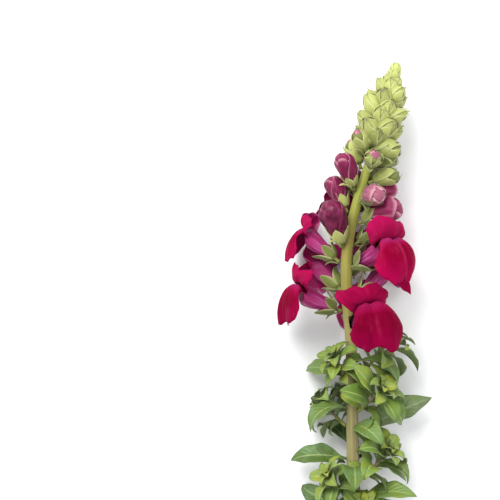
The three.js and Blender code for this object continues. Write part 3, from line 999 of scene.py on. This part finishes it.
@dataclass
class SideShoot(Growth):
    """A young shoot in the axil of a leaf: a thin stalk, pairs of small leaves and a tuft at its tip."""

    rise: float = 0.12
    stalk_tip: float = 0.6
    slimness: float = 0.52
    # where on the stalk, how many leaves, their size, lean, and turn round the stalk
    whorls: tuple = (
        (0.16, 2, 0.75, 74, 50), (0.31, 2, 0.95, 70, -10), (0.46, 2, 1.08, 66, 85), (0.6, 2, 1.1, 62, 30),
        (0.73, 3, 1.0, 56, 0), (0.84, 3, 0.82, 48, 60), (0.92, 3, 0.62, 36, 0), (0.97, 3, 0.44, 22, 60),
        (1.0, 3, 0.28, 10, 0),
    )
    kind = "shoot"
    slot = "young_leaf"
    skins = (Skins.SMALL_LEAF, Skins.LEAF_BACK, Skins.SMALL_STALK)
    foot = STALK_RADIUS

    def centre(self, t: float) -> ndarray:
        """A point on the stalk's middle line."""
        return np.array([0, self.place.length * t, self.place.length * self.rise * t * t])

    def patch(self) -> Patch:
        """The stalk and its leaves, on the shoot's own frame."""
        chance = np.random.default_rng(200 + self.number)
        rings = [
            self.centre(t) + around(STALK_RADIUS + (self.stalk_tip - STALK_RADIUS) * t, circle(14), 0)
            for t in np.linspace(0, 1, 14)
        ]
        parts = [rod(np.stack(rings), 2)]
        for at, count, size, lean, turn in self.whorls:
            for i in range(count):
                length = self.place.leaf * size * chance.uniform(0.9, 1.1)
                shape = Blade(
                    length, length * self.slimness, chance.uniform(60, 140), trough=0.35, wave=0.07,
                    sway=chance.uniform(-0.14, 0.14), twist=chance.uniform(-40, 40), hook=2.0,
                    rows=16, columns=7, thickness=0.35,
                )
                age = 0.05 + 0.85 * size * chance.uniform(0.5, 1)
                leaf = shape.patch(age, chance.uniform(0, TURN), (0, 1, 1))
                leaf.points = turned(leaf.points, 0, -lean)
                leaf.points = turned(leaf.points, 1, turn + i * 360 / count + chance.uniform(-8, 8))
                leaf.points += self.centre(at)
                parts.append(leaf)
        return join(parts)


@dataclass
class Sepals:
    """Five pointed sepals that overlap round a middle line. Each follows a profile of height and radius."""

    profile: tuple | ndarray  # rows of a part of the sepal's length, height and radius
    lift: float = 0.0  # how far the middle line nods at the sepals' points
    half_angle: float = 48.0
    fullness: float = 3.0  # how far up a sepal keeps its width
    overlap: float = 0.28
    flare: float = 0.2
    uneven: float = 0.08
    rows: int = 12
    columns: int = 7
    thickness: float = 0.3

    def patch(self, chance: np.random.Generator, tint: float) -> Patch:
        """The five sepals, of the first finish.

        Args:
            chance: Draws the small differences between the sepals.
            tint: Their tint.

        Returns:
            The patch.
        """
        made = []
        t, k = spans(self.rows, self.columns)
        for i in range(5):
            reach = 1 + chance.uniform(-self.uneven, self.uneven)
            y, r = np.moveaxis(curve(self.profile, t[:, 0] * reach)[:, None, :], -1, 0)
            wide = np.radians(self.half_angle) * np.maximum(1 - t**self.fullness, 0.03)
            angle = TURN * i / 5 + k * wide
            radius = r + self.overlap * k * (1 - t) + self.flare * chance.uniform(0.3, 1) * t**4
            radius = radius + 0.2 * k**2 * t
            grid = around(radius, angle, y, self.lift * t**2)
            marks = marks_of(self.rows, self.columns, np.abs(k) ** 1.5, tint)
            made.append(thick(sheet(grid, marks), self.thickness, (0, 0, 0)))
        return join(made)


def pedicel() -> Patch:
    """The short stalk of a floret or bud, widening into its cup, of the first finish."""
    y = np.array([0, 1.5, 3, PEDICEL_LENGTH, PEDICEL_LENGTH + 0.8, PEDICEL_LENGTH + 1.4])[:, None]
    radius = np.array([1.35, 1.15, 1.15, 1.5, 2.6, 2.2])[:, None]
    return rod(around(radius, circle(16), y), 0, 0.3, np.linspace(0, 0.3, len(y)))


def bract(size: float, phase: float, tint: float) -> Patch:
    """The narrow bract under a pedicel, of the first finish, for a floret of the given size."""
    made = Blade(11 * size, 4.6 * size, 55, trough=0.4, rows=12, columns=7).patch(tint, phase, (0, 0, 0))
    made.points = turned(made.points, 0, -28) + np.array([0, 0.3, -1.3])
    return made


@dataclass
class Calyx(Growth):
    """The cup of green sepals that holds an open floret."""

    # part of a sepal's length, height above the pedicel and radius, for a floret of full size
    profile: tuple = ((0, 0.4, 1.7), (0.12, 1.3, 3.9), (0.35, 4.0, 5.8), (0.7, 8.9, 7.6), (1.1, 14.2, 9.6))
    kind = "calyx"
    slot = "sepal"
    skins = (Skins.SEPAL,)

    def patch(self) -> Patch:
        """The pedicel, the sepals and the bract."""
        chance = np.random.default_rng(300 + self.number)
        size = self.place.size
        profile = tuple((t, PEDICEL_LENGTH + y * size, r * size) for t, y, r in self.profile)
        tint = chance.uniform(0.0, 0.35)
        sepals = Sepals(profile, half_angle=47, fullness=1.9, flare=1.5, uneven=0.16).patch(chance, tint)
        return join([pedicel(), sepals, bract(size, chance.uniform(0, TURN), tint)])


@dataclass
class Corolla(Growth):
    """An open floret: a tube that parts at its mouth into an upper lip of two lobes and a lower one."""

    columns: int = 49
    tube_rows: int = 14
    lip_rows: int = 28
    corner_rows: int = 9  # rows past the mouth over which its corners part
    thickness: float = 0.5
    foot_height: float = PEDICEL_LENGTH + 1.8  # where the tube starts, in its cup
    hinge: tuple = (21.5, 4.0)  # y and z of the line that the upper lip turns about
    ruffle: float = 1.9  # depth of the waves at a lip's margin
    waves: tuple = ((4.5, 1.0), (8, 0.6), (13, 0.2))  # how fast each runs round the mouth, and its share
    flop: float = 2.6  # how far a lobe droops or lifts as a whole
    curl: float = 2.4  # how far a lip's margin rolls back
    crease: float = 0.9  # depth of the fold between its lobes
    crease_width: float = 0.09  # as a part of the lip's half width
    pleat: float = 0.3  # depth of the fine pleats that fan out over it
    pleat_rate: float = 19.0  # how fast they run round the mouth
    crumple: float = 0.4  # depth of its soft dents
    dents: int = 4
    scallops: tuple = ((9, 0.022), (21, 0.01))  # how fast its margin's waves run across, and their depth
    palate_rise: float = 3.0  # how far the palate rises to close the mouth where the upper lip stands back
    palate: tuple = (1.24, 0.13)  # where it rises past the mouth, and over what length
    furrow: tuple = (1.3, 0.12, 0.16)  # where its furrow lies, its length, and its width
    furrow_depth: tuple = (1.6, 1.2)  # towards the foot, and down
    gapes: tuple = (5, 40)  # between which angles of the hood the palate sinks
    fades: tuple = (20, 80)  # and between which the lips' tints grow by their second part
    upper_tint: tuple = (0.1, 0.12)
    # the palate's pink, partly a painted highlight: its least share, and the share added as the hood
    # reaches forward
    palate_tint: tuple = (0.25, 0.6)
    # Down the middle of each half, from the foot, 0, past the mouth, 1, to the margin, 2: y and z of the
    # middle line, half width, how far the sides stand below or above it, spread, how far they sweep back.
    upper: tuple = (
        (0, 0, 2, 2, 2, 90, 0), (0.12, 2, 3.8, 3.8, 3.9, 90, 0), (0.42, 9, 4.6, 4.8, 4.8, 90, 0),
        (0.72, 16.5, 6.0, 6.6, 5.8, 90, 0), (1, 22.5, 7.2, 8.6, 6.6, 88, 0),
        (1.18, 25.5, 8.8, 12.0, 5.2, 78, 1.5), (1.45, 27.2, 13.5, 17.0, 4.0, 66, 3.5),
        (1.75, 25.6, 19, 20, 3.5, 58, 6), (2, 21.4, 23.8, 21.5, 3.5, 52, 8),
    )
    lower: tuple = (
        (0, 0, -2, 2, 2, 90, 0), (0.12, 2, -4.1, 3.8, 3.9, 90, 0), (0.42, 9, -5.0, 4.8, 4.6, 90, 0),
        (0.72, 16.5, -6.4, 6.6, 5.8, 90, 0), (1, 23, -4.6, 8.6, 4.0, 88, 0),
        (1.14, 26.0, 2.4, 10.0, -1.4, 80, 0), (1.26, 30.0, 4.6, 12.6, -3.8, 72, 2),
        (1.4, 33.4, 0.4, 16.0, -3.4, 66, 4),
        (1.6, 34.2, -8.5, 19.5, -0.5, 60, 6.5), (1.82, 32.2, -18.5, 21.5, 1.5, 56, 8.5),
        (2, 28.6, -27.0, 21.5, 3.0, 52, 10),
    )
    # the two lobes of the upper lip and the three of the lower: middle and half width as parts of the lip's
    # half width, and length
    upper_lobes: tuple = ((-0.5, 0.72, 1.0), (0.5, 0.72, 1.0))
    lower_lobes: tuple = ((-0.4, 0.82, 1.0), (0.4, 0.82, 1.0), (0.0, 0.3, 0.94))
    kind = "corolla"
    slot = "petal"
    skins = (Skins.TUBE, Skins.VELVET)

    def reach(self, k: ndarray, upper: bool, chance: np.random.Generator) -> ndarray:
        """How far out a lip's margin lies across its width.

        Args:
            k: Places across the lip, from -1 to 1.
            upper: True for the upper lip, False for the lower one.
            chance: Draws the small differences between the lobes.

        Returns:
            The reach, as a part of the lip's length.
        """
        out = np.full_like(k, 0.3)
        for middle, half, length in self.upper_lobes if upper else self.lower_lobes:
            away = np.clip(np.abs(k - middle - chance.uniform(-0.05, 0.05)) / half, 0, 1)
            out = np.maximum(out, (length - chance.uniform(0, 0.08)) * (1 - away**3) ** 0.45)
        scallops = sum(depth * np.sin(rate * k + chance.uniform(0, TURN)) for rate, depth in self.scallops)
        return (out + scallops - 0.02) * (1 - 0.2 * k**4)

    def half(self, upper: bool, chance: np.random.Generator) -> tuple:
        """One half of the floret, its tube and its lip.

        Args:
            upper: True for the upper half.
            chance: Draws the ruffles.

        Returns:
            Its grid of points, and their marks.
        """
        tube, k = spans(self.tube_rows, self.columns)
        tube = tube + 0 * k
        t = np.linspace(0, 1, self.lip_rows + 1)[1:, None] + 0 * k
        s = np.concatenate([tube, 1 + t * self.reach(k, upper, chance)])
        out = np.concatenate([0 * tube, t])
        y, z, wide, side, spread, sweep = np.moveaxis(curve(self.upper if upper else self.lower, s), -1, 0)
        full = np.radians(spread)
        angle = k * full
        drop = side * (1 - np.cos(angle)) / (1 - np.cos(full))
        grid = xyz(wide * np.sin(angle) / np.sin(full), y - sweep * k**2, z - drop if upper else z + drop)
        margin = np.maximum(out, smooth(0.55, 1, np.abs(k)) * smooth(0, 0.5, out))
        lip = smooth(1.0, 1.25, s)
        fan = np.arctan2(k, out + 0.1)  # the direction from the mouth, round which the ruffles run
        waves = sum(
            np.sin(fan * rate * chance.uniform(0.85, 1.15) + chance.uniform(0, TURN)) * share
            for rate, share in self.waves
        )
        droop = (chance.uniform(-1, 1) * k + chance.uniform(-0.8, 0.8) * (2 * k**2 - 0.6)) * out**2
        fold = bump(k, 0, self.crease_width) * smooth(0.2, 0.9, out)
        pleats = np.sin(fan * self.pleat_rate + chance.uniform(0, TURN)) * np.sqrt(out)
        dents = sum(
            np.sin(k * chance.uniform(3, 9) + out * chance.uniform(-8, 8) + chance.uniform(0, TURN))
            for _ in range(self.dents)
        )
        push = self.ruffle * margin**2 * waves + self.flop * droop + self.pleat * pleats
        push += self.crumple * out * dents
        push += (self.curl * margin**4 - self.crease * fold) * (1 if upper else -1)
        grid += normals(grid) * (lip * push)[..., None]
        marks = marks_of(*grid.shape[:2], margin, 0.0)
        marks[..., 1] = s / 2
        least, added = self.upper_tint if upper else self.palate_tint
        tint = least + added * smooth(*self.fades, self.place.hood)
        if upper:
            marks[..., 3] = tint
            hinge = np.array([0, *self.hinge])
            grid = turned(grid - hinge, 0, -self.place.hood * smooth(0.85, 1.35, s)) + hinge
        else:
            at, length, width = self.furrow
            furrow = bump(k, 0, width) * bump(s, at, length)
            rise = self.palate_rise * (1 - smooth(*self.gapes, self.place.hood))
            back, down = self.furrow_depth
            grid[..., 1] -= back * furrow
            grid[..., 2] += rise * (bump(s, *self.palate) * (1 - k**2)) - down * furrow
            # the palate's tint, for its lighter pink, partly a painted highlight
            marks[..., 3] = tint * bump(s, at, 0.1) * (1 - np.abs(k) ** 3)
        return grid, marks

    def patch(self) -> Patch:
        """The whole floret as a sheet, its halves joined along the tube and parting past the mouth."""
        chance = np.random.default_rng(560 + self.number)
        (above, above_marks), (below, below_marks) = self.half(True, chance), self.half(False, chance)
        parted = smooth(self.tube_rows, self.tube_rows + self.corner_rows, np.arange(len(above)))[:, None]
        near = np.abs(np.linspace(-1, 1, self.columns))[None, :] ** 10
        pull = ((1 - parted) * near)[..., None]
        seam = (above + below) / 2
        above, below = above + (seam - above) * pull, below + (seam - below) * pull
        size = self.place.size
        halves = [sheet(above * size, above_marks), sheet(below[:, ::-1] * size, below_marks[:, ::-1])]
        made = welded(join(halves))
        made.points = made.points + np.array([0, self.foot_height, 0])
        return made

    def grown(self) -> Patch:
        """The floret on the stem, with its thickness, which is the same at every size."""
        return thick(super().grown(), self.thickness, (0, 1, 1))


def egg(profile: tuple, length: float, half: float, nod: float, finish: int, tint: float) -> Patch:
    """A closed egg that stands on the y axis, at the end of a pedicel.

    Args:
        profile: Rows of a part of its length and a part of its half width.
        length: Its length.
        half: Half its width.
        nod: How far its end drops.
        finish: Number of its finish.
        tint: Its tint.

    Returns:
        The closed patch.
    """
    t = np.linspace(0, 1, 22)[:, None]
    radius = half * np.maximum(curve(profile, t[:, 0]), 0.02)
    return rod(around(radius, circle(28), PEDICEL_LENGTH + length * t, -nod * t**2), finish, tint)


@dataclass
class Bud(Growth):
    """A closed bud: petals wrapped round each other, held by five sepals that cover less as it ripens."""

    girth: tuple = (
        (0, 0.42), (0.15, 0.68), (0.35, 0.88), (0.6, 1), (0.8, 0.96), (0.91, 0.76), (0.97, 0.46), (1, 0.05),
    )
    nod: float = 0.3
    body: float = 0.88  # the body's share of the width, under its lobes
    showing: float = 0.18  # the ripeness from which petals show between the sepals' points
    coloured: float = 0.35  # the ripeness from which they stand clear of the sepals
    # the wrapped lobes: middle azimuth, half span, how far each stands off the bud, and where its end lies
    lobes: tuple = ((180, 75, 0.3, 0.93), (110, 62, 0.6, 0.9), (-60, 84, 0.9, 0.985), (25, 80, 1.5, 0.96))
    # those of the little petal that shows in a green bud, and how it differs from its bud
    young_lobes: tuple = ((150, 80, 0.1, 0.97), (20, 84, 0.4, 0.99))
    young_length: float = 1.04
    young_width: float = 0.7
    young_riper: float = 0.12
    twist: float = 48.0  # how far a lobe's end runs round the bud, in degrees
    wave: float = 0.36  # depth of a lobe's waves
    rows: int = 22
    columns: int = 21
    thickness: float = 0.4
    kind = "bud"
    skins = (Skins.SEPAL, Skins.BUD)

    @property
    def slot(self) -> str:
        """The slot's name: one for the coloured buds, and one for the green."""
        return "bud" if self.number <= COLOURED_BUDS else "green_bud"

    def lobe(self, row: tuple, chance: np.random.Generator) -> Patch:
        """One petal lobe wrapped round the bud.

        Args:
            row: Its row of the lobes above.
            chance: Draws its waves.

        Returns:
            The closed patch.
        """
        p = self.place
        middle, span, stand_off, end = row
        t, k = spans(self.rows, self.columns)
        reach = t * end * (1 - 0.24 * np.abs(k) ** 2.4)
        half = p.width / 2 * self.body
        wave = np.sin(k * 5 + chance.uniform(0, TURN)) * t
        wave += 0.9 * np.sin(k * 11 + 3 * t + chance.uniform(0, TURN))
        grown = smooth(0.25, 0.6, t) * (1 - 0.35 * smooth(0.85, 1, t))
        radius = half * curve(self.girth, reach)[..., 0] + stand_off * grown + self.wave * wave * grown
        angle = np.radians(middle + self.twist * t**2) + k * np.radians(span) * (1 - 0.12 * t**3)
        grid = around(radius, angle, PEDICEL_LENGTH + p.length * reach, -self.nod * half * reach**2)
        marks = marks_of(self.rows, self.columns, np.maximum(np.abs(k) ** 3, t**6), p.ripeness)
        return thick(sheet(grid, marks), self.thickness, (1, 1, 1))

    def patch(self) -> Patch:
        """The bud on its own frame."""
        p = self.place
        chance = np.random.default_rng(500 + self.number)
        half = p.width / 2 * self.body
        green = p.ripeness < self.coloured
        cover = 0.98 if green else 0.9 - 0.54 * float(smooth(0.25, 0.7, p.ripeness))
        steps = np.array([0, 0.2, 0.4, 0.6, 0.8, 1.0, 1.12])
        radii = half * curve(self.girth, steps * cover)[:, 0] + 0.4 + 0.5 * steps
        profile = np.stack([steps, PEDICEL_LENGTH + p.length * steps * cover, radii], axis=-1)
        tint = chance.uniform(0.2, 0.7)
        sepals = Sepals(profile, -self.nod * half * cover**2, uneven=0.14)
        if not green:
            sepals = replace(sepals, fullness=2.2, flare=0.5)
        length = p.length * (0.96 if green else 1)
        parts = [
            pedicel(),
            egg(self.girth, length, half, self.nod * half, 0 if green else 1, p.ripeness),
            sepals.patch(chance, tint),
            bract(1.15, chance.uniform(0, TURN), tint),
        ]
        if not green:
            parts += [self.lobe(row, chance) for row in self.lobes]
        elif p.ripeness >= self.showing:
            petal = replace(
                p, length=p.length * self.young_length, width=p.width * self.young_width,
                ripeness=p.ripeness + self.young_riper,
            )
            inner = half * self.young_width
            parts.append(egg(self.girth, petal.length, inner, self.nod * half, 1, petal.ripeness))
            parts += [replace(self, place=petal).lobe(row, chance) for row in self.young_lobes]
        return join(parts)


@dataclass
class SpikeTip:
    """The top of the spike: its axis and the green buds that crowd round it, ever smaller to the tip."""

    count: int = 34
    core_sides: int = 16
    core_rings: int = 24
    first_azimuth: float = -20.0
    stations: tuple = (4.6, 57.0)  # of the first bud and the last
    # a bud's length, half width and lean, from the youngest, 0, to the oldest, 1
    growth: tuple = (
        (0, 6.6, 3.0, 8), (0.06, 8, 3.4, 20), (0.12, 9.6, 3.8, 26), (0.2, 11, 4.3, 32), (0.32, 14, 5.2, 42),
        (0.5, 17, 6.1, 53), (1, 16.5, 6.5, 60),
    )
    sink: float = 1.8  # how far a bud's foot is sunk in the axis
    girth: tuple = ((0, 0.5), (0.2, 0.86), (0.42, 1), (0.62, 0.92), (0.8, 0.66), (0.93, 0.36), (1, 0.2))

    def bud(self, length: float, half: float, tint: float, chance: np.random.Generator) -> Patch:
        """One green bud in its five sepals, with its foot at the origin."""
        steps = np.linspace(0, 1.12, 8)
        radii = half * curve(self.girth, steps)[:, 0] + 0.15 + 0.25 * steps
        profile = np.stack([steps, length * steps, radii], axis=-1)
        body = egg(self.girth, length * 0.96, half * 0.96, 0, 0, tint)
        body.points = body.points - np.array([0, PEDICEL_LENGTH, 0])
        return join([body, Sepals(profile, overlap=0.4, flare=0.15, rows=11).patch(chance, tint)])

    def patch(self) -> Patch:
        """The axis and its buds."""
        chance = np.random.default_rng(600)
        stations = np.linspace(TIP_LENGTH, 0.5, self.core_rings)
        radii = [np.full(self.core_sides, 1 + 2 * smooth(0, TIP_LENGTH, s)) for s in stations]
        rings = np.stack([AXIS.ring(s, radius) for s, radius in zip(stations, radii)])
        parts = [rod(rings, 1, 0.5, stations / STEM_LENGTH)]
        for i in range(self.count):
            t = i / (self.count - 1)
            station = np.interp(t**0.95, (0, 1), self.stations)
            length, half, lean = curve(self.growth, t)
            azimuth = self.first_azimuth + i * GOLDEN + chance.uniform(-14, 14)
            station += 2 * t * chance.uniform(-1, 1)
            place = Place(station, azimuth, lean * chance.uniform(0.85, 1.15))
            half *= chance.uniform(0.9, 1.08)
            length *= chance.uniform(0.9, 1.1)
            tint = 0.8 - 0.42 * t + chance.uniform(-0.15, 0.1)
            parts.append(self.bud(length, half, tint, chance).moved(AXIS.seat(place, -self.sink)))
        return join(parts)

    def build(self) -> None:
        """Makes the tip."""
        piece("spike_tip", self.patch(), (Skins.SEPAL, Skins.STALK), "green_bud")


# -------- The studio --------


@dataclass
class Studio:
    """A pale floor, soft lamps and a camera that looks straight down on the stem."""

    field: float = 0.3333  # width of the view at the stem, in metres
    middle: tuple = (-68.0, -122.7, 22.0)  # the view's middle, in the stem's own millimetres
    distance: float = 2.4
    floor_size: float = 8.0
    floor_colour: str = "f4f4f2"
    sky_colour: str = "f6f8ff"
    sky_strength: float = 0.85
    # name, place in metres from the middle of the stem, side in metres, and watts
    lamps: tuple = (("key", (-0.5, 0.9, 1.2), 0.9, 26.0), ("fill", (0.9, -0.3, 1.4), 1.2, 8.0))

    def camera(self) -> None:
        """Makes the camera. A long lens keeps the stem's parts in proportion."""
        data = bpy.data.cameras.new("camera")
        data.sensor_width = 36.0
        data.lens = data.sensor_width * self.distance / self.field
        data.clip_end = 20.0
        made = placed("camera", data)
        made.location = (np.array(self.middle) + AXIS.shift) * MM + UP * self.distance
        bpy.context.scene.camera = made

    def floor(self) -> None:
        """Makes the floor: smooth, pale and matte."""
        mesh = bpy.data.meshes.new("floor")
        half = self.floor_size / 2
        corners = [(-half, -half, 0), (half, -half, 0), (half, half, 0), (-half, half, 0)]
        mesh.from_pydata(corners, [], [(0, 1, 2, 3)])
        paint = bpy.data.materials.new("matte_pale_floor")
        tree = bare(paint)
        skin = add(tree, "BsdfPrincipled", {"Base Color": self.floor_colour, "Roughness": 0.9})
        add(tree, "OutputMaterial", {"Surface": skin})
        mesh.materials.append(paint)
        made = placed("floor", mesh)

    def lamp(self, name: str, place: tuple, size: float, watts: float) -> None:
        """Makes a square soft lamp that faces the middle of the stem.

        Args:
            name: Its name.
            place: Where it stands, in metres from the middle of the stem.
            size: Its side, in metres.
            watts: Its power.
        """
        data = bpy.data.lights.new(name, "AREA")
        data.size = size
        data.energy = watts
        made = placed(name, data)
        made.location = place
        made.rotation_euler = (-made.location).to_track_quat("-Z", "Y").to_euler()

    def build(self) -> None:
        """Makes the camera, the floor, the lamps and the sky."""
        self.camera()
        self.floor()
        for lamp in self.lamps:
            self.lamp(*lamp)
        world = bpy.data.worlds.new("sky")
        tree = bare(world)
        sky = add(tree, "Background", {"Color": self.sky_colour, "Strength": self.sky_strength})
        add(tree, "OutputWorld", {"Surface": sky})
        bpy.context.scene.world = world
        bpy.context.scene.view_settings.view_transform = "Standard"


def main() -> None:
    """Builds the stem's pieces in order, from the stalk out, and then the studio."""
    logging.basicConfig(level=logging.INFO, format="%(name)s %(message)s")
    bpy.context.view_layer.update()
    AXIS.find_frame(MainStem().patch().points)
    MainStem().build()
    SpikeTip().build()
    growths = ((Calyx, FLORETS), (Corolla, FLORETS), (Bud, BUDS), (Leaf, LEAVES), (SideShoot, SHOOTS))
    for kind, places in growths:
        for number, place in enumerate(places, 1):
            kind(number, place).build()
    Studio().build()


if __name__ == "__main__":
    main()
